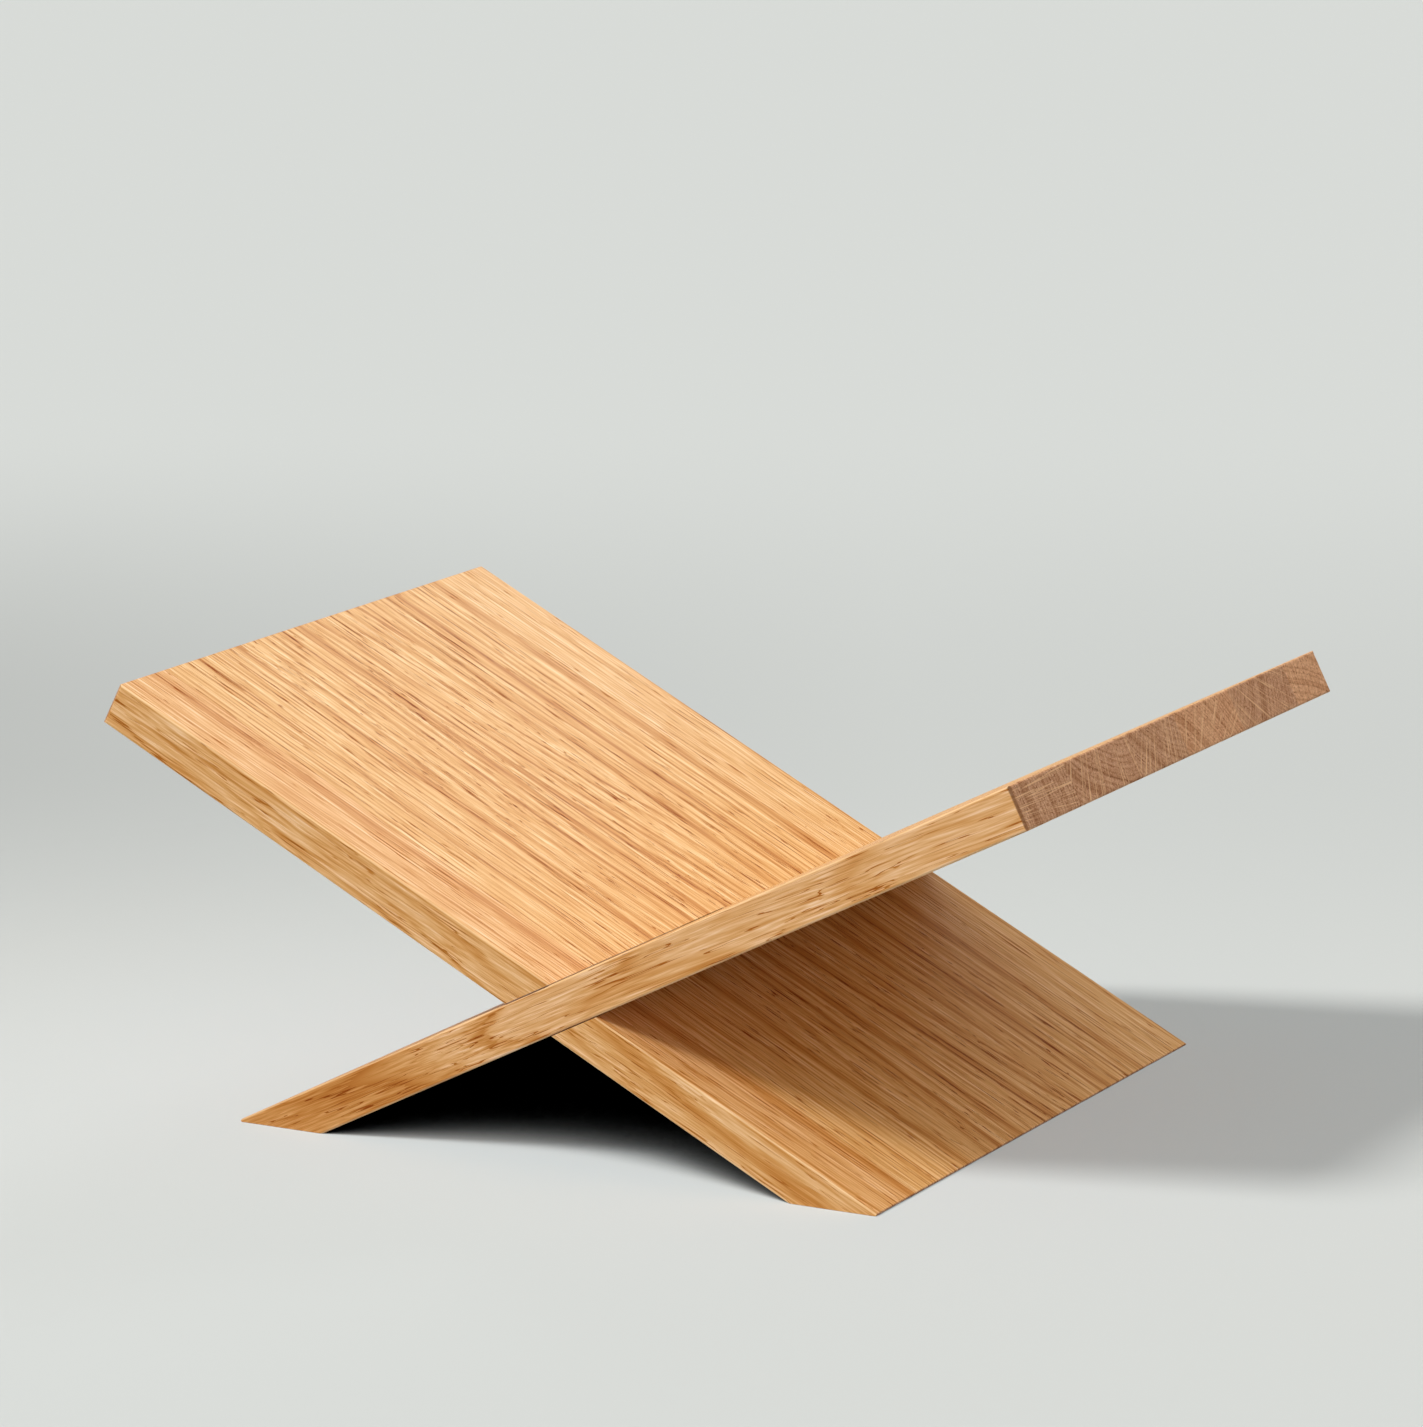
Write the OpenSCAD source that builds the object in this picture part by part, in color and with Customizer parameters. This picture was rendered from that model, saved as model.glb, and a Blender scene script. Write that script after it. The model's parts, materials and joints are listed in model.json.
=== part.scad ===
// X-shaped bookstand: a pair of equal oak panels, slotted half way through, that slide into each other.
// Each panel is glued up from staves whose grain runs down the slope.
// Origin: on the floor under the crossing. X across the V, Y from front to back, Z up.

/* [Panels] */
// Depth of the stand, from its front edge to its back edge
depth = 300; // [280:5:320]
// Thickness of a panel
panel_t = 19; // [17:0.5:22]
// Slope of a panel above the floor, in degrees
slope = 27; // [24:1:30]
// Reach of a panel up its slope, from the crossing to its upper end
upper_reach = 235; // [200:5:260]
// Height of the crossing above the floor
crossing_h = 66; // [60:1:80]

/* [Staves] */
// Width of the long stave at a panel's uncut edge
long_edge_w = 49; // [45:1:60]
// Width of the long stave beside it
long_middle_w = 58; // [45:1:60]
// How far the slot runs past the last glue line into the notched stave
notch_in = 3; // [2:0.5:8]
// Width of the cut stave nearest to the slot's end
cut_inner_w = 55; // [45:1:60]
// Width of the cut stave in the middle of the slotted half
cut_middle_w = 57; // [45:1:60]

/* [Joint] */
// Gap between a slot's wall and the panel that fills it
slot_gap = 0.3; // [0.1:0.05:0.5]
// Gap between the ends of both slots when the panels are pushed home
end_gap = 0.6; // [0.2:0.1:1]

/* [Edges] */
// Radius that eases a panel's arrises
arris_r = 1; // [0.6:0.1:1.5]
// Radius of a panel's corners, seen square to its face
corner_r = 2; // [1:0.1:4]
// Radius that blunts the sharp edge of a foot
tip_r = 0.6; // [0.3:0.1:0.8]

/* [Hidden] */
$fn = 48;

// Extra length of a cutting shape, so that it never ends flush with what it cuts
over = 5;

// Length of the shape that cuts a slot: at every slope it passes right through the panel
slot_cut_l = 8 * panel_t;

// Oak tones of the staves, in the order of the glue lines below
OAK = ["#D2A266", "#C9975A", "#D6A76C", "#CC9C5F", "#D0A063", "#C69458"];

// Half of a panel's thickness, measured straight up
half_rise = panel_t / 2 / cos(slope);
// Where a panel's under face and its upper face meet the floor
foot_inner_x = (crossing_h - half_rise) / tan(slope);
foot_tip_x = (crossing_h + half_rise) / tan(slope);
// Reach of a panel down its slope, to beyond the tip of its foot
lower_reach = foot_tip_x / cos(slope) + over;

// Glue lines between the staves, as distances from the uncut edge of a panel
edge_line = long_edge_w;
middle_line = edge_line + long_middle_w;
slot_line = depth / 2 + notch_in;
inner_line = slot_line + cut_inner_w;
outer_line = inner_line + cut_middle_w;
GLUE_LINES = [0, edge_line, middle_line, slot_line, inner_line, outer_line, depth];

// Directions from a corner of an outline to its neighbours, and half of the angle between them
function unit(v) = v / norm(v);
function to_next(c, i) = unit(c[(i + 1) % len(c)] - c[i]);
function to_last(c, i) = unit(c[(i + len(c) - 1) % len(c)] - c[i]);
function half_angle(c, i) = acos(to_next(c, i) * to_last(c, i)) / 2;

// Points where the arc of a corner meets both sides, and the middle of that arc
function arc_start(c, r, i) = c[i] + to_last(c, i) * r[i] / tan(half_angle(c, i));
function arc_end(c, r, i) = c[i] + to_next(c, i) * r[i] / tan(half_angle(c, i));
function arc_middle(c, r, i) = c[i] + unit(to_next(c, i) + to_last(c, i)) * r[i] / sin(half_angle(c, i));

// Outline with straight sides, each corner rounded by its own radius
module eased_outline(corners, radii) {
    last = len(corners) - 1;
    polygon([for (i = [0:last]) each [arc_start(corners, radii, i), arc_end(corners, radii, i)]]);
    for (i = [0:last]) translate(arc_middle(corners, radii, i)) circle(radii[i]);
}

// Lays a shape that stands around the crossing on the right panel's slope: X runs up the slope, Z off its face
module on_slope() {
    translate([0, 0, crossing_h]) rotate([0, -slope, 0]) children();
}

// Side view of the right panel: its upper end is cut square, its foot is cut level with the floor
module side_outline() {
    top = [cos(slope), sin(slope)] * upper_reach + [0, crossing_h];
    off_face = [-sin(slope), cos(slope)] * panel_t / 2;
    corners = [top + off_face, [-foot_tip_x, 0], [-foot_inner_x, 0], top - off_face];
    eased_outline(corners, [arris_r, tip_r, arris_r, arris_r]);
}

// Section across the grain, with the front and back arrises eased
module edge_outline() {
    y = depth / 2;
    z = panel_t / 2;
    eased_outline([[-y, -z], [y, -z], [y, z], [-y, z]], [for (i = [1:4]) arris_r]);
}

// View square to the face, with the corners rounded
module face_outline() {
    y = depth / 2;
    low_x = -foot_tip_x / cos(slope);
    corners = [[low_x, -y], [upper_reach, -y], [upper_reach, y], [low_x, y]];
    eased_outline(corners, [for (i = [1:4]) corner_r]);
}

// The right panel before it is slotted
module panel_blank() {
    intersection() {
        translate([0, depth / 2, 0]) rotate([90, 0, 0]) linear_extrude(depth) side_outline();
        on_slope() translate([-lower_reach, 0, 0]) rotate([90, 0, 90])
            linear_extrude(lower_reach + upper_reach + over) edge_outline();
        on_slope() translate([0, 0, -panel_t]) linear_extrude(2 * panel_t) face_outline();
    }
}

// What the right panel's slot takes away: the left panel's slab and its gaps, open at the back
module slot() {
    slab_t = panel_t + 2 * slot_gap;
    mirror([1, 0, 0]) on_slope() translate([-slot_cut_l / 2, -end_gap / 2, -slab_t / 2])
        cube([slot_cut_l, depth / 2 + over, slab_t]);
}

// A stretch of the slope, as wide as the stave between two glue lines
module stave_space(number, low_x, high_x) {
    from_y = GLUE_LINES[number] - depth / 2;
    stave_w = GLUE_LINES[number + 1] - GLUE_LINES[number];
    on_slope() translate([low_x, from_y, -panel_t]) cube([high_x - low_x, stave_w, 2 * panel_t]);
}

// A full-length stave of the right panel that the slot doesn't reach
module whole_stave(number) {
    intersection() {
        panel_blank();
        stave_space(number, -lower_reach, upper_reach + over);
    }
}

// The full-length stave that the slot ends in
module notched_stave(number) {
    difference() {
        whole_stave(number);
        slot();
    }
}

// The part of a cut stave above the slot, and the part below it
module upper_stave(number) {
    difference() {
        intersection() {
            panel_blank();
            stave_space(number, 0, upper_reach + over);
        }
        slot();
    }
}
module lower_stave(number) {
    difference() {
        intersection() {
            panel_blank();
            stave_space(number, -lower_reach, 0);
        }
        slot();
    }
}

// The left panel is the right one turned half round, so its slot is open at the front
module turned() {
    rotate([0, 0, 180]) children();
}

// Staves of the left panel
module left_long_edge_stave() { color(OAK[0]) turned() whole_stave(0); }
module left_long_middle_stave() { color(OAK[1]) turned() whole_stave(1); }
module left_notched_stave() { color(OAK[2]) turned() notched_stave(2); }
module left_upper_inner_stave() { color(OAK[3]) turned() upper_stave(3); }
module left_upper_middle_stave() { color(OAK[4]) turned() upper_stave(4); }
module left_upper_edge_stave() { color(OAK[5]) turned() upper_stave(5); }
module left_lower_inner_stave() { color(OAK[3]) turned() lower_stave(3); }
module left_lower_middle_stave() { color(OAK[4]) turned() lower_stave(4); }
module left_lower_edge_stave() { color(OAK[5]) turned() lower_stave(5); }

// Staves of the right panel
module right_long_edge_stave() { color(OAK[0]) whole_stave(0); }
module right_long_middle_stave() { color(OAK[1]) whole_stave(1); }
module right_notched_stave() { color(OAK[2]) notched_stave(2); }
module right_upper_inner_stave() { color(OAK[3]) upper_stave(3); }
module right_upper_middle_stave() { color(OAK[4]) upper_stave(4); }
module right_upper_edge_stave() { color(OAK[5]) upper_stave(5); }
module right_lower_inner_stave() { color(OAK[3]) lower_stave(3); }
module right_lower_middle_stave() { color(OAK[4]) lower_stave(4); }
module right_lower_edge_stave() { color(OAK[5]) lower_stave(5); }

left_long_edge_stave();
left_long_middle_stave();
left_notched_stave();
left_upper_inner_stave();
left_upper_middle_stave();
left_upper_edge_stave();
left_lower_inner_stave();
left_lower_middle_stave();
left_lower_edge_stave();
right_long_edge_stave();
right_long_middle_stave();
right_notched_stave();
right_upper_inner_stave();
right_upper_middle_stave();
right_upper_edge_stave();
right_lower_inner_stave();
right_lower_middle_stave();
right_lower_edge_stave();
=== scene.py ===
# %% [markdown]
# # An X-shaped bookstand of solid oak
# The stand is a pair of equal oak panels. They cross like an X and slide into each other along a slot.
# The shapes come from the CAD frame and are right as they are: flat boards with lightly eased edges.
# What is added here is the wood. Oiled oak has no picture on its surface. Every line on it is a place
# where the face cuts through the tree's yearly rings, pores and rays. So this script grows those in
# space, once for each board, and every face then shows what it cuts through, the end grain included.

# %% Load the frame
import json
import math

import bmesh
import bpy
from mathutils import Matrix, Vector


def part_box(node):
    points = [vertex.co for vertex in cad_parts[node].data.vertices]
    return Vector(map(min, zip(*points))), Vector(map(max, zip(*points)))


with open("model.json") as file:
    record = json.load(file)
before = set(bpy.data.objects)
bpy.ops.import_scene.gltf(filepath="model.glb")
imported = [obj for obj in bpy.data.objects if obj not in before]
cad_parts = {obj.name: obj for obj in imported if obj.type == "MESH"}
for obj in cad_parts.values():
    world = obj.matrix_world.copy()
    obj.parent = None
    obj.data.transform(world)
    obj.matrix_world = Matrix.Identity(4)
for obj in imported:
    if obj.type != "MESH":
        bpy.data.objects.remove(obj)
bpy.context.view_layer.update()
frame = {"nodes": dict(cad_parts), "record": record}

# %% [markdown]
# ## The camera
# The view is that of a long lens, a little above the stand and to its right. A long lens from far away
# keeps the edges of the boards nearly parallel. The place was found by matching the corners of the
# boards, so the camera stands on a sphere around the point that it looks at, and needs no shift.

# %% Camera
CAMERA_AZIMUTH = math.radians(28.17)
CAMERA_ELEVATION = math.radians(12.02)
CAMERA_DISTANCE = 2.791
AIM = Vector((-0.0059, 0, 0.1604))
LENS_MM = 166.8
SENSOR_MM = 36
CLIP_END_M = 50

to_camera = Vector((
    math.sin(CAMERA_AZIMUTH) * math.cos(CAMERA_ELEVATION),
    -math.cos(CAMERA_AZIMUTH) * math.cos(CAMERA_ELEVATION),
    math.sin(CAMERA_ELEVATION),
))
camera = bpy.data.objects.new("camera", bpy.data.cameras.new("camera"))
camera.data.lens = LENS_MM
camera.data.sensor_width = SENSOR_MM
camera.data.clip_end = CLIP_END_M
camera.location = AIM + to_camera * CAMERA_DISTANCE
camera.rotation_euler = (-to_camera).to_track_quat("-Z", "Y").to_euler()
bpy.context.scene.collection.objects.link(camera)
bpy.context.scene.camera = camera
bpy.context.scene.view_settings.view_transform = "Standard"
print("camera at", [round(x, 3) for x in camera.location])

# %% [markdown]
# ## Two helpers
# Colours are read off as sRGB hex codes, but shaders count light, so one function turns a code to linear
# values. A node tree is written as a list of calls to another: it adds a node, sets its own
# properties, and fills each input with a plain value or with the output that feeds it.

# %% Helpers
def colour(code):
    """Linear RGBA of an sRGB hex code."""
    channels = [int(code[i:i + 2], 16) / 255 for i in (1, 3, 5)]
    return [c / 12.92 if c <= 0.04045 else ((c + 0.055) / 1.055) ** 2.4 for c in channels] + [1.0]


def add(tree, kind, inputs=None, **settings):
    """Adds a node of a kind. An input is named or numbered, and gets a value or another node's output."""
    node = tree.nodes.new(kind)
    for name, value in settings.items():
        setattr(node, name, value)
    for name, value in (inputs or {}).items():
        if isinstance(value, bpy.types.NodeSocket):
            tree.links.new(value, node.inputs[name])
        else:
            node.inputs[name].default_value = value
    return node


print("white is", colour("#FFFFFF"))

# %% [markdown]
# ## Where each panel lies
# The frame says how steep the boards are: the direction that a resting face looks in is in its record.
# One matrix for each panel then turns the room's directions into the panel's own: along the grain, across
# the boards, and out of the face. The left panel is the right one turned half round.

# %% Panels
MM = 0.001
PANEL_T = 19 * MM

face = next(m for m in frame["record"]["mounts"] if m["name"] == "right_book_face")
outwards = Vector(face["axis"])
slope = math.asin(-outwards.x)
in_the_middle = Vector(face["pos_m"]) - outwards * PANEL_T / 2
crossing_h = in_the_middle.z - in_the_middle.x * math.tan(slope)
TURNS = {"right": 0.0, "left": math.pi}


def panel_matrix(side):
    """From a panel's own directions (up the grain, across, out of its face) to those of the room."""
    lifted = Matrix.Translation((0, 0, crossing_h)) @ Matrix.Rotation(-slope, 4, "Y")
    return Matrix.Rotation(TURNS[side], 4, "Z") @ lifted


print("slope", round(math.degrees(slope), 2), "degrees, crossing at", round(crossing_h / MM, 1), "mm")

# %% [markdown]
# ## The boards and the tree that each came from
# A panel is glued up from boards that were sawn from different places in the log. What tells them apart is
# where the pith, the tree's centre, lay. When it lay off to the side, the rings stand upright in the board
# and its face shows straight parallel lines. When it lay above or below, the face shows wide arches.
# The end face of the right panel shows both the rings and the pale rays that point to the pith, so for that
# panel these values are measured. Each row gives:
# how far away the pith was in mm, the direction from it to the board in degrees, how far the grain dips
# and skews in degrees, the width of a year's ring in mm, how clearly the rings and pores show, and the tone.

# %% Boards
BOARDS = {
    "right": {
        "long_edge": (183, -2.4, 1.3, 1.8, 2.6, 0.8, "straw"),
        "long_middle": (75, -110.7, 1.6, 0.5, 3.0, 0.9, "tan"),
        "notched": (70, -128, -0.8, 0.3, 2.4, 0.9, "straw"),
        "inner": (90, 38, 0.6, -0.5, 2.6, 0.8, "pale"),
        "middle": (80, -35, -0.7, 0.4, 2.2, 0.9, "tan"),
        "edge": (100, 71, 0.9, 0.2, 3.2, 0.8, "pale"),
    },
    "left": {
        "long_edge": (120, 12, 0.5, -0.4, 2.3, 0.8, "pale"),
        "long_middle": (90, -120, 0.8, 0.4, 3.2, 1.15, "tan"),
        "notched": (80, -62, 2.0, 1.0, 3.4, 1.15, "tan"),
        "inner": (80, -115, 1.9, 1.2, 3.0, 1.15, "tan"),
        "middle": (90, 36, 0.6, -0.7, 2.4, 1.0, "tan"),
        "edge": (172, 14, 1.1, 1.5, 2.2, 0.6, "amber"),
    },
}

# Each board starts this many metres further along the same pith, so that no two share their irregularities
BOARD_APART = 0.9


def nodes_of(side, board):
    """The CAD nodes that were one board: a board that the slot cuts is an upper and a lower node."""
    names = [f"{side}_{board}_stave", f"{side}_upper_{board}_stave", f"{side}_lower_{board}_stave"]
    return [name for name in names if name in frame["nodes"]]


def pith_and_turn(side, board, number):
    """The place and the turn of the board's pith, for a Mapping node of the Texture kind."""
    distance, direction, dip, skew = BOARDS[side][board][:4]
    angle = math.radians(direction)
    low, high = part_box(nodes_of(side, board)[0])
    middle = (low.y + high.y) / 2 * math.cos(TURNS[side])
    along = number * BOARD_APART
    from_middle = Vector((0, -math.cos(angle), -math.sin(angle))) * distance * MM
    turn = (angle, math.radians(dip) - slope, TURNS[side] + math.radians(skew))
    grain = Matrix.Rotation(turn[2], 4, "Z") @ Matrix.Rotation(turn[1], 4, "Y")
    start = panel_matrix(side) @ (Vector((0, middle, 0)) + from_middle)
    return start - grain.col[0].xyz * along, turn


for side in BOARDS:
    print(side, {board: len(nodes_of(side, board)) for board in BOARDS[side]})

# %% [markdown]
# ## Oak, planed, sanded and oiled
# Oak is ring-porous: each spring the tree grows a band of wide pores, which the eye sees as a darker line of
# short streaks, and then dense pale wood for the rest of the year. Rays run out from the pith like the
# spokes of a wheel, and show as pale lines on the end grain. Oil makes all of this warmer and darker in the
# pores, and leaves a satin surface in which the open pores can be felt.
#
# A flat pattern of lines on each face would be quicker, but its lines would stop at every edge. So the wood
# is worked out in space, from three lengths: along the grain, away from the pith, and around the pith. A
# Mapping node gives them. No tree grows in perfect circles, so a slow noise then bends them by a few mm.

# %% The board's own space
WANDER = 7 * MM  # how far the rings and fibres stray
WANDER_SCALE = (5, 26, 26)  # how often it changes in a metre: once along the grain and twice across it


def stretched_noise(tree, place, scale, detail, roughness=0.5):
    """Noise that changes at one rate along the grain and at another across it."""
    stretched = add(tree, "ShaderNodeVectorMath", {0: place, 1: scale}, operation="MULTIPLY")
    return add(tree, "ShaderNodeTexNoise",
               {"Vector": stretched.outputs[0], "Scale": 1, "Detail": detail, "Roughness": roughness})


def real_size(scale):
    """The rates of a stretched noise as real sizes, for print."""
    return f"{1000 / scale[0]:.0f} mm along the grain, {1000 / scale[1]:.1f} mm across it"


def board_space(tree, where, pith, turn):
    """Places in the board, as sawn and as grown: X along the grain, Y and Z across it from the pith."""
    own = add(tree, "ShaderNodeMapping", {"Vector": where, "Location": pith, "Rotation": turn},
              vector_type="TEXTURE")
    wander = stretched_noise(tree, own.outputs[0], WANDER_SCALE, detail=2.5)
    shift = add(tree, "ShaderNodeVectorMath",
                {0: wander.outputs["Color"], 1: (0, WANDER, WANDER), 2: (0, -WANDER / 2, -WANDER / 2)},
                operation="MULTIPLY_ADD")
    grown = add(tree, "ShaderNodeVectorMath", {0: own.outputs[0], 1: shift.outputs[0]}, operation="ADD")
    return own.outputs[0], grown.outputs[0]


print("a bend in the grain:", real_size(WANDER_SCALE))

# %% [markdown]
# ## Fibres
# Fibres show as faint streaks in everything, 1 mm wide and 30 mm long. A noise that is stretched along the
# grain gives them, in place of thousands of single lines. Half of them darken the wood and half lighten it.

# %% Fibres
FIBRE_SCALE = (32, 1100, 1100)
FIBRE_RANGE = (0.3, 0.7)  # nearly all that a noise gives. Its middle is 0.5.
FIBRE_DEPTH = 0.75


def fibres(tree, grown):
    """The noise of the fibres, and the depth of tone that they add."""
    fibre = stretched_noise(tree, grown, FIBRE_SCALE, detail=2, roughness=0.6)
    streak = add(tree, "ShaderNodeMapRange",
                 {"Value": fibre.outputs["Fac"], "From Min": FIBRE_RANGE[0], "From Max": FIBRE_RANGE[1],
                  "To Min": FIBRE_DEPTH / 2, "To Max": -FIBRE_DEPTH / 2})
    return fibre.outputs["Fac"], streak.outputs[0]


print("a fibre:", real_size(FIBRE_SCALE))

# %% [markdown]
# ## Yearly rings
# A ring is what the tree grew in a year. The distance from the pith is counted in rings, so that the whole
# part of the count is the year and what is left over is the season. A Wave texture would make every ring
# alike. Here a noise makes some years wider than others, and white noise of the year's number gives each
# spring its own darkness. A ring ends in fibres, which feather its edge where a face cuts it at a low angle.

# %% Rings
FEATHER = 1.2 * MM  # how far the fibres fray a ring's edge
WEATHER_SCALE, WEATHER_SHIFT = 0.4, 1.5  # runs of wide or narrow years, and how many rings they shift by
SPRING_FADES = (0.02, 0.45)  # the part of a year in which open pores thin out
SPRING_SETS_IN = 0.92  # from here to the year's end the next spring sets in
RARITY = 2.2  # the higher, the fewer springs are dark
PALEST_SPRING = 0.4


def rings(tree, grown, fibre, ring_w):
    """The distance from the pith, and how open the wood is: 1 in the darkest spring, 0 from summer on."""
    flat = add(tree, "ShaderNodeVectorMath", {0: grown, 1: (0, 1, 1)}, operation="MULTIPLY")
    radius = add(tree, "ShaderNodeVectorMath", {0: flat.outputs[0]}, operation="LENGTH").outputs["Value"]
    feathered = add(tree, "ShaderNodeMath", {0: fibre, 1: FEATHER, 2: radius}, operation="MULTIPLY_ADD")
    even = add(tree, "ShaderNodeMath", {0: feathered.outputs[0], 1: ring_w}, operation="DIVIDE")
    weather = add(tree, "ShaderNodeTexNoise", {"W": even.outputs[0], "Scale": WEATHER_SCALE, "Detail": 1},
                  noise_dimensions="1D")
    years = add(tree, "ShaderNodeMath",
                {0: weather.outputs["Fac"], 1: WEATHER_SHIFT, 2: even.outputs[0]}, operation="MULTIPLY_ADD")
    season = add(tree, "ShaderNodeMath", {0: years.outputs[0]}, operation="FRACT")
    spring = add(tree, "ShaderNodeMapRange",
                 {"Value": season.outputs[0], "From Min": SPRING_FADES[0], "From Max": SPRING_FADES[1],
                  "To Min": 1, "To Max": 0}, interpolation_type="SMOOTHSTEP")
    onset = add(tree, "ShaderNodeMapRange", {"Value": season.outputs[0], "From Min": SPRING_SETS_IN})
    open_wood = add(tree, "ShaderNodeMath", {0: spring.outputs[0], 1: onset.outputs[0]}, operation="MAXIMUM")
    year = add(tree, "ShaderNodeMath", {0: years.outputs[0]}, operation="FLOOR")
    chance = add(tree, "ShaderNodeTexWhiteNoise", {"W": year.outputs[0]}, noise_dimensions="1D")
    rare = add(tree, "ShaderNodeMath", {0: chance.outputs["Value"], 1: RARITY}, operation="POWER")
    dark_year = add(tree, "ShaderNodeMapRange", {"Value": rare.outputs[0], "To Min": PALEST_SPRING})
    ring = add(tree, "ShaderNodeMath", {0: open_wood.outputs[0], 1: dark_year.outputs[0]},
               operation="MULTIPLY")
    return radius, ring.outputs[0]


print("a run of wide years:", 1 / WEATHER_SCALE, "rings")

# %% [markdown]
# ## Brown bands
# Besides the rings, oak has bands of browner wood some 8 mm wide that follow them. A noise of nothing but the
# distance from the pith gives bands that do.

# %% Bands
BAND_SCALE = 95  # changes in a metre
BAND_RANGE = (0.5, 0.72)  # a band grows from the first value of the noise to the second


def bands(tree, radius):
    """Where the wood is browner, from 0 to 1."""
    stain = add(tree, "ShaderNodeTexNoise", {"W": radius, "Scale": BAND_SCALE, "Detail": 2},
                noise_dimensions="1D")
    band = add(tree, "ShaderNodeMapRange",
               {"Value": stain.outputs["Fac"], "From Min": BAND_RANGE[0], "From Max": BAND_RANGE[1]},
               interpolation_type="SMOOTHSTEP")
    return band.outputs[0]


print("the brown changes every", round(1000 / BAND_SCALE, 1), "mm")

# %% [markdown]
# ## Open pores
# The pores of oak are up to 0.3 mm wide, and a board's face cuts one open over a few centimetres. Spots of a
# Voronoi texture would end too round. So a pore is a line where a noise passes its middle value: a wide one
# in the spring wood and a hair-thin one elsewhere, and a second noise breaks these lines up. They are drawn
# at their real width but further apart than in real oak, because from this far a pixel is 0.5 mm wide.

# %% Pores
PORE_SCALE = (12, 520, 520)
PORE_REACH_LATE, PORE_REACH_SPRING = 0.014, 0.036  # how far from its middle value the noise is still a pore
PORE_CORE = 0.5  # the share of that reach at which a pore is still as deep as in its middle
BREAK_SCALE = (30, 400, 400)
BREAK_RANGE = (0.42, 0.55)


def off_middle(tree, noise):
    """How far a noise is from its middle value, which it passes along thin lines."""
    off = add(tree, "ShaderNodeMath", {0: noise.outputs["Fac"], 1: -0.5}, operation="ADD")
    return add(tree, "ShaderNodeMath", {0: off.outputs[0]}, operation="ABSOLUTE").outputs[0]


def pores(tree, grown, ring):
    """Where a pore lies open, from 0 to 1."""
    away = off_middle(tree, stretched_noise(tree, grown, PORE_SCALE, detail=2))
    reach = add(tree, "ShaderNodeMapRange",
                {"Value": ring, "To Min": PORE_REACH_LATE, "To Max": PORE_REACH_SPRING})
    share = add(tree, "ShaderNodeMath", {0: away, 1: reach.outputs[0]}, operation="DIVIDE")
    line = add(tree, "ShaderNodeMapRange",
               {"Value": share.outputs[0], "From Min": PORE_CORE, "To Min": 1, "To Max": 0},
               interpolation_type="SMOOTHSTEP")
    patch = stretched_noise(tree, grown, BREAK_SCALE, detail=1)
    unbroken = add(tree, "ShaderNodeMapRange",
                   {"Value": patch.outputs["Fac"], "From Min": BREAK_RANGE[0], "From Max": BREAK_RANGE[1]})
    pore = add(tree, "ShaderNodeMath", {0: line.outputs[0], 1: unbroken.outputs[0]}, operation="MULTIPLY")
    return pore.outputs[0]


print("a pore:", real_size(PORE_SCALE), "from the next, broken every", real_size(BREAK_SCALE))

# %% [markdown]
# ## Rays
# A ray is a thin sheet of cells that stands on the pith, 1 to 2 mm from the next one. The angle around the
# pith tells them apart, and they are found as the pores are, along the middle of a noise. Only the end grain
# shows them, because on the other surfaces of these boards they would be too faint to see.

# %% Rays
RAY_GAP = 1.1 * MM
RAY_SCALE_ALONG, RAY_SCALE_OUT = 40, 12  # changes in a metre, along the grain and away from the pith
RAY_RANGE = (0.005, 0.035)
RAY_SHARE = 0.7  # how much of its own colour a ray shows at most


def rays(tree, own, radius, distance):
    """How much of a ray shows. The board's distance from the pith sets the gap between them."""
    parts = add(tree, "ShaderNodeSeparateXYZ", {0: own})
    around = add(tree, "ShaderNodeMath", {0: parts.outputs["Z"], 1: parts.outputs["Y"]}, operation="ARCTAN2")
    spacing = add(tree, "ShaderNodeMath", {0: around.outputs[0], 1: distance / RAY_GAP}, operation="MULTIPLY")
    along = add(tree, "ShaderNodeMath", {0: parts.outputs["X"], 1: RAY_SCALE_ALONG}, operation="MULTIPLY")
    out = add(tree, "ShaderNodeMath", {0: radius, 1: RAY_SCALE_OUT}, operation="MULTIPLY")
    spoke = add(tree, "ShaderNodeCombineXYZ",
                {0: spacing.outputs[0], 1: along.outputs[0], 2: out.outputs[0]})
    sheet = add(tree, "ShaderNodeTexNoise", {"Vector": spoke.outputs[0], "Scale": 1, "Detail": 1})
    ray = add(tree, "ShaderNodeMapRange",
              {"Value": off_middle(tree, sheet), "From Min": RAY_RANGE[0], "From Max": RAY_RANGE[1],
               "To Min": RAY_SHARE, "To Max": 0}, interpolation_type="SMOOTHSTEP")
    return ray.outputs[0]


print("rays change every", round(RAY_GAP / MM, 1), "mm")

# %% [markdown]
# ## From depth to colour
# All that darkens the wood, from fibre to pore, adds to one number, the depth. Mixing in a dark colour would
# turn the wood grey. Instead its colour falls with the depth as light does in amber: blue fastest and red
# slowest. So dark wood is also redder. End grain drinks more oil than a face, so it starts from a darker
# colour and falls in its own way. The surface's direction tells where an end is.

# %% Faces and ends
END_RANGE = (0.25, 0.85)


def squareness(tree, normal, axis):
    """How squarely a surface looks along an axis, either way: 0 is not at all and 1 is straight."""
    dot = add(tree, "ShaderNodeVectorMath", {0: normal, 1: axis}, operation="DOT_PRODUCT")
    return add(tree, "ShaderNodeMath", {0: dot.outputs["Value"]}, operation="ABSOLUTE").outputs[0]


def end_share(tree, endwise):
    """How much of an end a surface is, from how squarely it looks along the grain."""
    end = add(tree, "ShaderNodeMapRange",
              {"Value": endwise, "From Min": END_RANGE[0], "From Max": END_RANGE[1]},
              interpolation_type="SMOOTHSTEP")
    return end.outputs[0]


print("an end cuts the grain at", round(math.degrees(math.asin(END_RANGE[0]))), "degrees or more")

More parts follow.
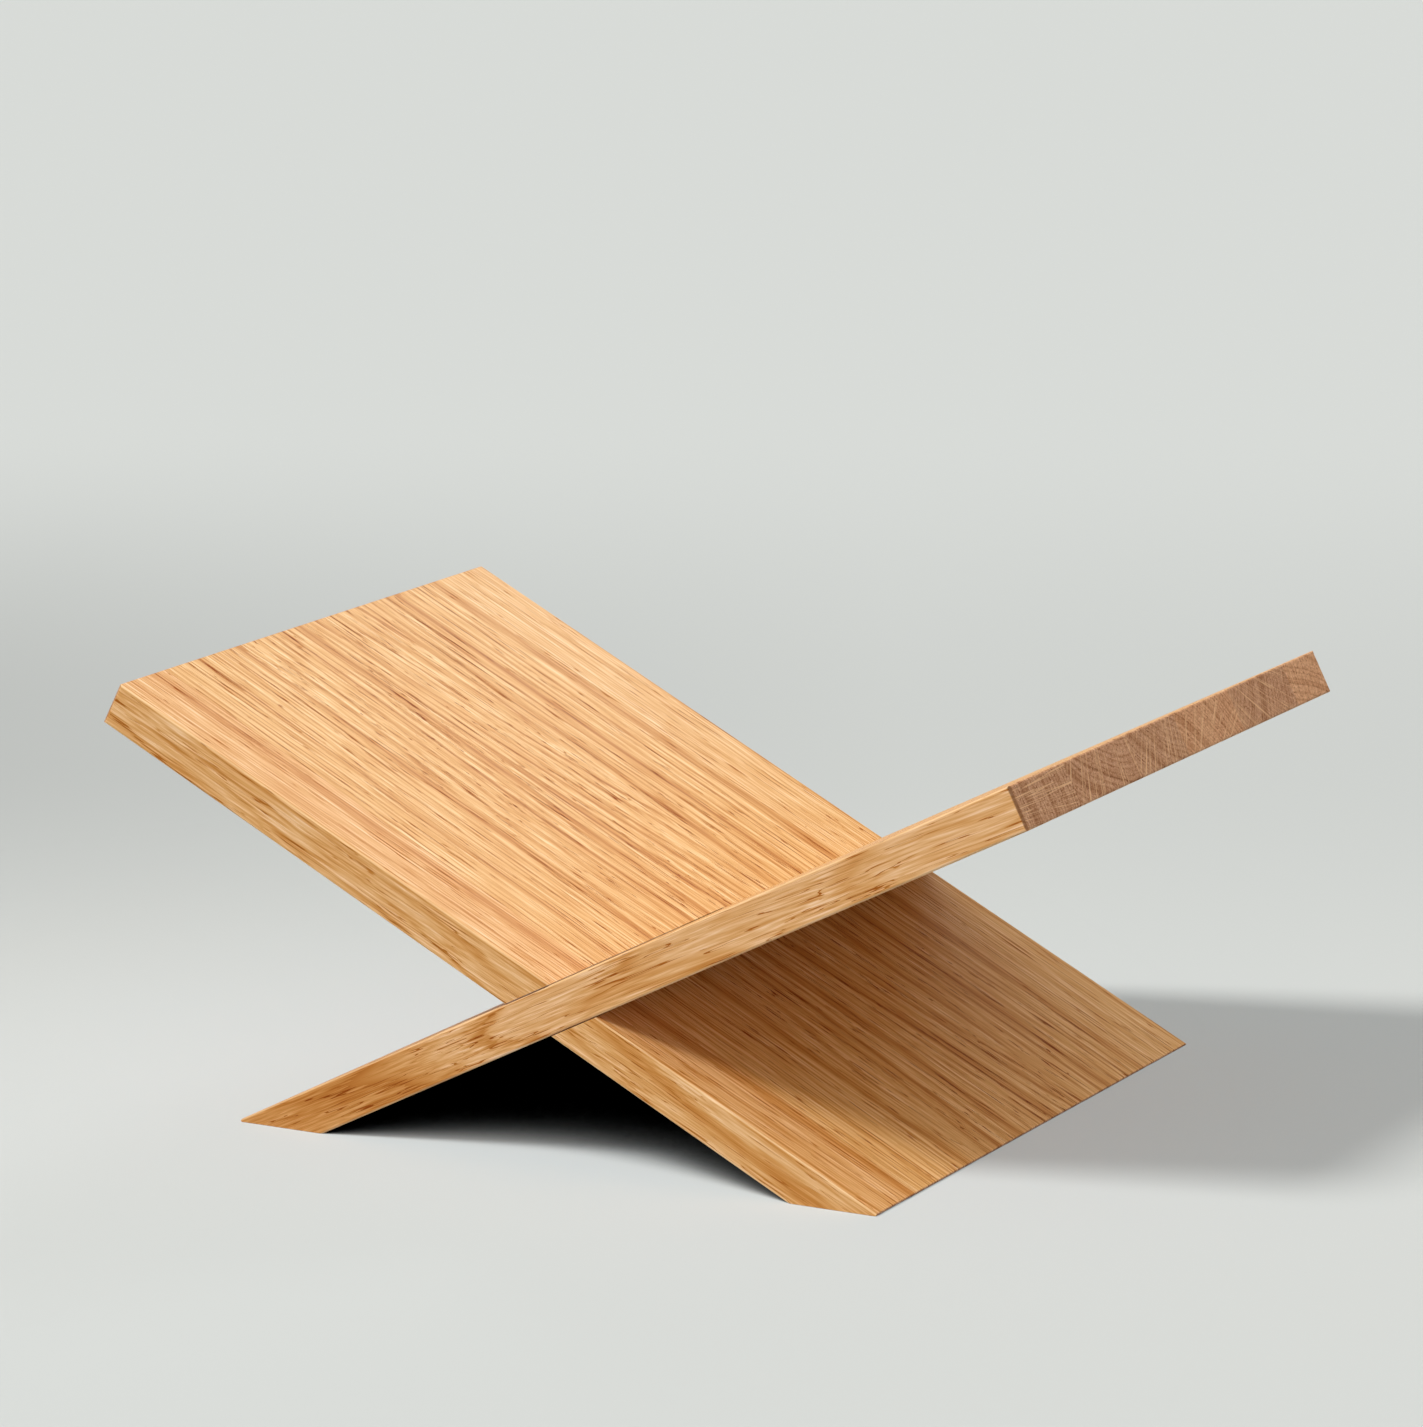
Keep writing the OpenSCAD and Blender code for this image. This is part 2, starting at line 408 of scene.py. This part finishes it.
# %% Colours of the grain
TONES = {  # the palest wood of a board, first on a face and then on an end
    "straw": ("#EBB57C", "#C6936F"),
    "tan": ("#ECB979", "#C5916D"),
    "pale": ("#EEBD81", "#D49C73"),
    "amber": ("#EBB579", "#C48F6A"),
}
FACE_STEP, END_STEP = "#CCA468", "#BEA486"  # what one step of depth leaves of the light
RAY = "#F2C294"
RING_DEPTH, BAND_DEPTH, PORE_DEPTH = 0.85, 0.45, 1.7


def grain_colour(tree, streak, ring, band, pore, end, clarity, tone):
    """The colour of the wood without its rays."""
    with_rings = add(tree, "ShaderNodeMath", {0: ring, 1: RING_DEPTH * clarity, 2: streak},
                     operation="MULTIPLY_ADD")
    with_bands = add(tree, "ShaderNodeMath", {0: band, 1: BAND_DEPTH, 2: with_rings.outputs[0]},
                     operation="MULTIPLY_ADD")
    depth = add(tree, "ShaderNodeMath", {0: pore, 1: PORE_DEPTH * clarity, 2: with_bands.outputs[0]},
                operation="MULTIPLY_ADD")
    on_face, on_end = [colour(code) for code in TONES[tone]]
    palest = add(tree, "ShaderNodeMix", {0: end, 6: on_face, 7: on_end}, data_type="RGBA")
    step = add(tree, "ShaderNodeMix", {0: end, 6: colour(FACE_STEP), 7: colour(END_STEP)}, data_type="RGBA")
    left_over = add(tree, "ShaderNodeVectorMath", {0: step.outputs[2], 1: depth.outputs[0]},
                    operation="POWER")
    grain = add(tree, "ShaderNodeVectorMath", {0: palest.outputs[2], 1: left_over.outputs[0]},
                operation="MULTIPLY")
    return grain.outputs[0]


def with_rays(tree, grain, ray, end):
    """The rays are pale, and only an end shows them."""
    end_ray = add(tree, "ShaderNodeMath", {0: ray, 1: end}, operation="MULTIPLY")
    return add(tree, "ShaderNodeMix", {0: end_ray.outputs[0], 6: grain, 7: colour(RAY)},
               data_type="RGBA").outputs[2]


print("tones of oak:", list(TONES))

# %% [markdown]
# ## Painted arris highlights and soaked corners
# The long arrises get a painted highlight: a pale cream tint that stands in for the light caught by their
# eased curve. An end's upright corners soak up more oil, which shows most on the right panel. Both are only a
# mm or two wide, so they need no map of their own: a surface that looks half one way and half another is an
# arris, and the product of the two squarenesses is highest there.

# %% Painted arris highlights and soaked corners
# The first colour is a painted highlight along the long arrises, the second the darker oil-soaked corner of
# an end
PAINTED_ARRIS_HIGHLIGHT, SOAKED_CORNER = "#FFE3B4", "#6E4324"
HIGHLIGHT_RANGE, CORNER_RANGE = (0.2, 0.48), (0.3, 0.45)  # the product is 0.5 at most
HIGHLIGHT_SHARE = 0.4
CORNER_SHARE = {"right": 0.75, "left": 0.15}


def tinted(tree, base, one_way, other_way, span, share, tint):
    """The base with a share of a tint where a surface looks half one way and half the other."""
    between = add(tree, "ShaderNodeMath", {0: one_way, 1: other_way}, operation="MULTIPLY")
    amount = add(tree, "ShaderNodeMapRange",
                 {"Value": between.outputs[0], "From Min": span[0], "From Max": span[1], "To Max": share})
    return add(tree, "ShaderNodeMix", {0: amount.outputs[0], 6: base, 7: colour(tint)},
               data_type="RGBA").outputs[2]


print("arrises", PAINTED_ARRIS_HIGHLIGHT, "and corners", SOAKED_CORNER)

# %% [markdown]
# ## The oiled surface
# Dried oil has an IOR of about 1.5 and a satin sheen, which is weak here because the oil lies in the wood and
# not on it. Open pores are 0.1 mm deep and duller. Hollows that fine would take millions of faces, so bump
# makes them.

# %% Oiled oak
PORE_HOLLOW, RELIEF = 0.1 * MM, 0.2  # the bump's distance and strength
SATIN, OPEN_PORE = 0.42, 0.75  # roughness
OIL_IOR, OIL_SHEEN = 1.5, 0.12


def oiled_oak(name, pith, turn, side, board):
    """Solid oak around a pith. Returns the material."""
    distance, ring_w = BOARDS[side][board][0] * MM, BOARDS[side][board][4] * MM
    clarity, tone = BOARDS[side][board][5:]
    material = bpy.data.materials.new(name)
    material.use_nodes = True
    tree = material.node_tree
    tree.nodes.clear()

    where = add(tree, "ShaderNodeTexCoord")
    own, grown = board_space(tree, where.outputs["Object"], pith, turn)
    fibre, streak = fibres(tree, grown)
    radius, ring = rings(tree, grown, fibre, ring_w)
    band = bands(tree, radius)
    pore = pores(tree, grown, ring)
    ray = rays(tree, own, radius, distance)

    endwise, sideways, upwards = [
        squareness(tree, where.outputs["Normal"], panel_matrix(side).col[i].xyz) for i in range(3)]
    end = end_share(tree, endwise)
    grain = grain_colour(tree, streak, ring, band, pore, end, clarity, tone)
    rayed = with_rays(tree, grain, ray, end)
    # a painted highlight on the long arrises, where a surface looks half across the panel and half out of its
    # face
    with_painted_highlight = tinted(tree, rayed, sideways, upwards, HIGHLIGHT_RANGE, HIGHLIGHT_SHARE, PAINTED_ARRIS_HIGHLIGHT)
    wood = tinted(tree, with_painted_highlight, sideways, endwise, CORNER_RANGE, CORNER_SHARE[side], SOAKED_CORNER)

    relief = add(tree, "ShaderNodeMath", {0: pore, 1: -1, 2: fibre}, operation="MULTIPLY_ADD")
    bump = add(tree, "ShaderNodeBump",
               {"Height": relief.outputs[0], "Strength": RELIEF, "Distance": PORE_HOLLOW})
    rough = add(tree, "ShaderNodeMapRange", {"Value": pore, "To Min": SATIN, "To Max": OPEN_PORE})
    shader = add(tree, "ShaderNodeBsdfPrincipled", {
        "Base Color": wood, "Roughness": rough.outputs[0], "Normal": bump.outputs[0],
        "IOR": OIL_IOR, "Specular IOR Level": OIL_SHEEN})
    add(tree, "ShaderNodeOutputMaterial", {"Surface": shader.outputs[0]})
    return material


print("the surface is", SATIN, "rough, and", OPEN_PORE, "in a pore")

# %% [markdown]
# ## One oak for each board
# The stand has 12 boards and 18 pieces, because the slots cut six boards in two. Both pieces of a cut board
# get the same material, so the grain goes on from one to the other.

# %% Boards of oak
number = 0
for side in BOARDS:
    for board in BOARDS[side]:
        pith, turn = pith_and_turn(side, board, number)
        oak = oiled_oak(f"oiled_oak_{side}_{board}", pith, turn, side, board)
        for node in nodes_of(side, board):
            frame["nodes"][node].material_slots[0].material = oak
        number += 1
print(number, "boards of oak on", len(frame["nodes"]), "nodes")

# %% [markdown]
# ## The floor
# The stand is on a sheet of plain pale paper that fills the view. A large disc is enough for it. It lies a
# little below the feet, so that no two faces share a place.

# %% Sheet
FLOOR_RADIUS = 9
FLOOR_SIDES = 96
FLOOR_Z = -0.1 * MM

shape = bmesh.new()
bmesh.ops.create_circle(shape, cap_ends=True, segments=FLOOR_SIDES, radius=FLOOR_RADIUS)
bmesh.ops.translate(shape, verts=shape.verts, vec=(0, 0, FLOOR_Z))
mesh = bpy.data.meshes.new("floor")
shape.to_mesh(mesh)
shape.free()
floor = bpy.data.objects.new("floor", mesh)
bpy.context.scene.collection.objects.link(floor)
print("floor", FLOOR_RADIUS * 2, "m across")

# %% [markdown]
# ## The near-black under the stand
# Close under a low object hardly any light from the room arrives, and the photograph shows that as near
# black. Lamps alone leave it too light. So the paper's colour fades to black where ambient occlusion says
# that little of the room is in sight. Before that it turns a little cooler, to balance the warm light that
# the oak throws on it.

# %% Colour of the paper
PAPER, SHADED_PAPER = "#CDCEC9", "#CAD0D0"
SIGHT_RANGE = 0.25  # how near a thing has to be, in metres, to hide the room from the floor
SIGHT_SAMPLES = 64
BLACK_BELOW, PAPER_ABOVE, COOL_BELOW = 0.05, 0.29, 0.4  # shares of the room that are in sight

paper = bpy.data.materials.new("matt_paper")
paper.use_nodes = True
tree = paper.node_tree
tree.nodes.clear()
in_sight = add(tree, "ShaderNodeAmbientOcclusion", {"Distance": SIGHT_RANGE}, samples=SIGHT_SAMPLES)
open_floor = add(tree, "ShaderNodeMapRange",
                 {"Value": in_sight.outputs["AO"], "From Min": BLACK_BELOW, "From Max": PAPER_ABOVE},
                 interpolation_type="SMOOTHSTEP")
free = add(tree, "ShaderNodeMapRange", {"Value": in_sight.outputs["AO"], "From Min": COOL_BELOW})
cooled = add(tree, "ShaderNodeMix", {0: free.outputs[0], 6: colour(SHADED_PAPER), 7: colour(PAPER)},
             data_type="RGBA")
tone = add(tree, "ShaderNodeMix", {0: open_floor.outputs[0], 6: (0, 0, 0, 1), 7: cooled.outputs[2]},
           data_type="RGBA")
print("paper", PAPER, "and", SHADED_PAPER, "in shade")

# %% [markdown]
# ## The band of shade
# A wide band of weak shade lies behind the stand, as on paper that starts to bend upwards there. It is
# darker on the left. The material makes it, so that the sheet can stay flat.

# %% Band of shade
BACKWARDS, LEFTWARDS = (-0.472, 0.882, 0), (-0.882, -0.472, 0)  # as the camera sees it
SHADE_BEGINS, SHADE_ENDS = (0, 0.65), (0.7, 1.7)  # from where to where it grows and fades, in metres
SHADE_SIDES = (-0.1, 0.4)  # metres to the left of the stand's middle
SHADE_LOSS = (0.09, 0.24)  # the light that the band takes away at these two places

place = add(tree, "ShaderNodeTexCoord")
behind = add(tree, "ShaderNodeVectorMath", {0: place.outputs["Object"], 1: BACKWARDS},
             operation="DOT_PRODUCT")
leftwards = add(tree, "ShaderNodeVectorMath", {0: place.outputs["Object"], 1: LEFTWARDS},
                operation="DOT_PRODUCT")
begins = add(tree, "ShaderNodeMapRange",
             {"Value": behind.outputs["Value"], "From Min": SHADE_BEGINS[0], "From Max": SHADE_BEGINS[1]},
             interpolation_type="SMOOTHSTEP")
ends = add(tree, "ShaderNodeMapRange",
           {"Value": behind.outputs["Value"], "From Min": SHADE_ENDS[0], "From Max": SHADE_ENDS[1],
            "To Min": 1, "To Max": 0}, interpolation_type="SMOOTHSTEP")
dim = add(tree, "ShaderNodeMapRange",
          {"Value": leftwards.outputs["Value"], "From Min": SHADE_SIDES[0], "From Max": SHADE_SIDES[1],
           "To Min": SHADE_LOSS[0], "To Max": SHADE_LOSS[1]})
strip = add(tree, "ShaderNodeMath", {0: begins.outputs[0], 1: ends.outputs[0]}, operation="MULTIPLY")
loss = add(tree, "ShaderNodeMath", {0: strip.outputs[0], 1: dim.outputs[0]}, operation="MULTIPLY")
print("shade takes", SHADE_LOSS, "of the light")

# %% [markdown]
# ## What the paper gives back
# The floor's own fill lamp shines through the stand, as the next steps say. Coming back from below it would
# be too much, so only a share of it does. What the camera sees of the paper isn't changed by that.

# %% Paper
RETURNED = 0.78

to_eye = add(tree, "ShaderNodeLightPath")
bounced = add(tree, "ShaderNodeMapRange", {"Value": to_eye.outputs["Is Camera Ray"], "To Min": RETURNED})
kept = add(tree, "ShaderNodeMath", {0: bounced.outputs[0], 1: loss.outputs[0]}, operation="SUBTRACT")
shaded = add(tree, "ShaderNodeVectorMath", {0: tone.outputs[2], "Scale": kept.outputs[0]}, operation="SCALE")
matt = add(tree, "ShaderNodeBsdfDiffuse", {"Color": shaded.outputs[0]})
add(tree, "ShaderNodeOutputMaterial", {"Surface": matt.outputs[0]})
floor.data.materials.append(paper)
print("the paper gives back", RETURNED, "of its light")

# %% [markdown]
# ## The main light
# The shadow on the floor tells where the main light is: in front and to the left, 47 degrees up, and 14
# degrees wide, which makes the shadow's edge soft. An area lamp nearby would light the left of the stand more
# than the right, so it is a distant lamp.

# %% Main lamp
def lamp(name, towards, strength, width):
    """A distant lamp that shines from a direction and looks as wide as an angle in degrees."""
    light = bpy.data.lights.new(name, "SUN")
    light.energy = strength
    light.angle = math.radians(width)
    holder = bpy.data.objects.new(name, light)
    holder.rotation_euler = Vector(towards).to_track_quat("Z", "Y").to_euler()
    bpy.context.scene.collection.objects.link(holder)
    return holder


KEY_WAY = (-0.384, -0.565, 0.730)
KEY_STRENGTH = 2.12
KEY_WIDTH = 14

lamp("key", KEY_WAY, KEY_STRENGTH, KEY_WIDTH)
print("main light", round(math.degrees(math.asin(KEY_WAY[2]))), "degrees up")

# %% [markdown]
# ## Fill light
# The rest of the light is fill, from a very wide lamp overhead and from a pale room. With the main light it
# gives the floor a strength of about 1.1, so the paper shows a little paler than its colour is written.
#
# The photograph shows one shadow on the floor and no second one from the fill. A single lamp can't do that,
# so the floor has a fill lamp of its own that the stand doesn't block, and the stand has the other.

# %% Fill lamps
FILL_WAY = (0.40, 0.15, 0.90)
FILL_WIDTH = 84
FILL_STRENGTH, FLOOR_FILL_STRENGTH = 1.50, 1.52
FROM_OAK = (0.99, 0.98, 0.93)  # warm, as is the light that comes back from the oak itself
FROM_ROOM = (0.95, 1, 1.05)  # a little blue, so that the shadow beside the warm oak is a neutral grey

stand_fill = lamp("stand_fill", FILL_WAY, FILL_STRENGTH, FILL_WIDTH)
stand_fill.data.color = FROM_OAK
floor_fill = lamp("floor_fill", FILL_WAY, FLOOR_FILL_STRENGTH, FILL_WIDTH)
floor_fill.data.color = FROM_ROOM
print("fill light", FILL_WIDTH, "degrees wide")

# %% What each fill lamp lights
# With this kind of sampling the stand would still block a part of the floor's lamp
floor_fill.data.cycles.use_multiple_importance_sampling = False
just_the_floor = bpy.data.collections.new("just_the_floor")
just_the_floor.objects.link(floor)
floor_fill.light_linking.receiver_collection = just_the_floor
floor_fill.light_linking.blocker_collection = just_the_floor

not_the_floor = bpy.data.collections.new("not_the_floor")
not_the_floor.objects.link(floor)
not_the_floor.collection_objects[0].light_linking.link_state = "EXCLUDE"
stand_fill.light_linking.receiver_collection = not_the_floor

# %% [markdown]
# ## Sheen
# A small lamp behind the stand gives the satin sheen on the upper face of the left panel. It is a narrow
# spot, so that it reaches little else.

# %% Panel lamp
PANEL_LAMP_AIM = Vector((-0.20, 0.03, 0.17))
PANEL_LAMP_WAY = Vector((-0.103, 0.862, 0.496))
PANEL_LAMP_WATTS = 9.8
PANEL_LAMP_TINT = (0.94, 1, 1.05)
PANEL_LAMP_BEAM = 24  # degrees
PANEL_LAMP_RADIUS = 0.2

beam = bpy.data.lights.new("panel_lamp", "SPOT")
beam.energy = PANEL_LAMP_WATTS
beam.color = PANEL_LAMP_TINT
beam.spot_size = math.radians(PANEL_LAMP_BEAM)
beam.spot_blend = 1
beam.shadow_soft_size = PANEL_LAMP_RADIUS
hood = bpy.data.objects.new("panel_lamp", beam)
hood.location = PANEL_LAMP_AIM + PANEL_LAMP_WAY
hood.rotation_euler = PANEL_LAMP_WAY.to_track_quat("Z", "Y").to_euler()
bpy.context.scene.collection.objects.link(hood)
print("panel lamp at", [round(x, 2) for x in hood.location])

# %% [markdown]
# ## The room and the background
# The room adds a weak light that grows from the horizon up, and a little more from the front, which
# lights the long edges of the panels. Where the camera looks past the floor, or the satin mirrors the
# room, it sees the plain pale grey of the paper instead.

# %% Room
AT_THE_HORIZON, OVERHEAD, IN_FRONT = 0.06, 0.26, 0.12
BACKGROUND = "#D5D6D1"

world = bpy.data.worlds.new("studio")
bpy.context.scene.world = world
world.use_nodes = True
tree = world.node_tree
tree.nodes.clear()
sky = add(tree, "ShaderNodeTexCoord")
way = add(tree, "ShaderNodeSeparateXYZ", {0: sky.outputs["Generated"]})
upper = add(tree, "ShaderNodeMapRange",
            {"Value": way.outputs["Z"], "To Min": AT_THE_HORIZON, "To Max": OVERHEAD})
front = add(tree, "ShaderNodeMapRange",
            {"Value": way.outputs["Y"], "From Min": -1, "From Max": 0, "To Min": IN_FRONT, "To Max": 0})
level = add(tree, "ShaderNodeMath", {0: upper.outputs[0], 1: front.outputs[0]}, operation="ADD")
room = add(tree, "ShaderNodeBackground", {"Color": (1, 1, 1, 1), "Strength": level.outputs[0]})
seen = add(tree, "ShaderNodeBackground", {"Color": colour(BACKGROUND), "Strength": 1})
path = add(tree, "ShaderNodeLightPath")
glossy = add(tree, "ShaderNodeMath", {0: path.outputs["Is Camera Ray"], 1: path.outputs["Is Glossy Ray"]},
             operation="MAXIMUM")
seen_ray = add(tree, "ShaderNodeMath", {0: glossy.outputs[0], 1: path.outputs["Is Transmission Ray"]},
               operation="MAXIMUM")
either = add(tree, "ShaderNodeMixShader", {0: seen_ray.outputs[0], 1: room.outputs[0], 2: seen.outputs[0]})
add(tree, "ShaderNodeOutputWorld", {"Surface": either.outputs[0]})
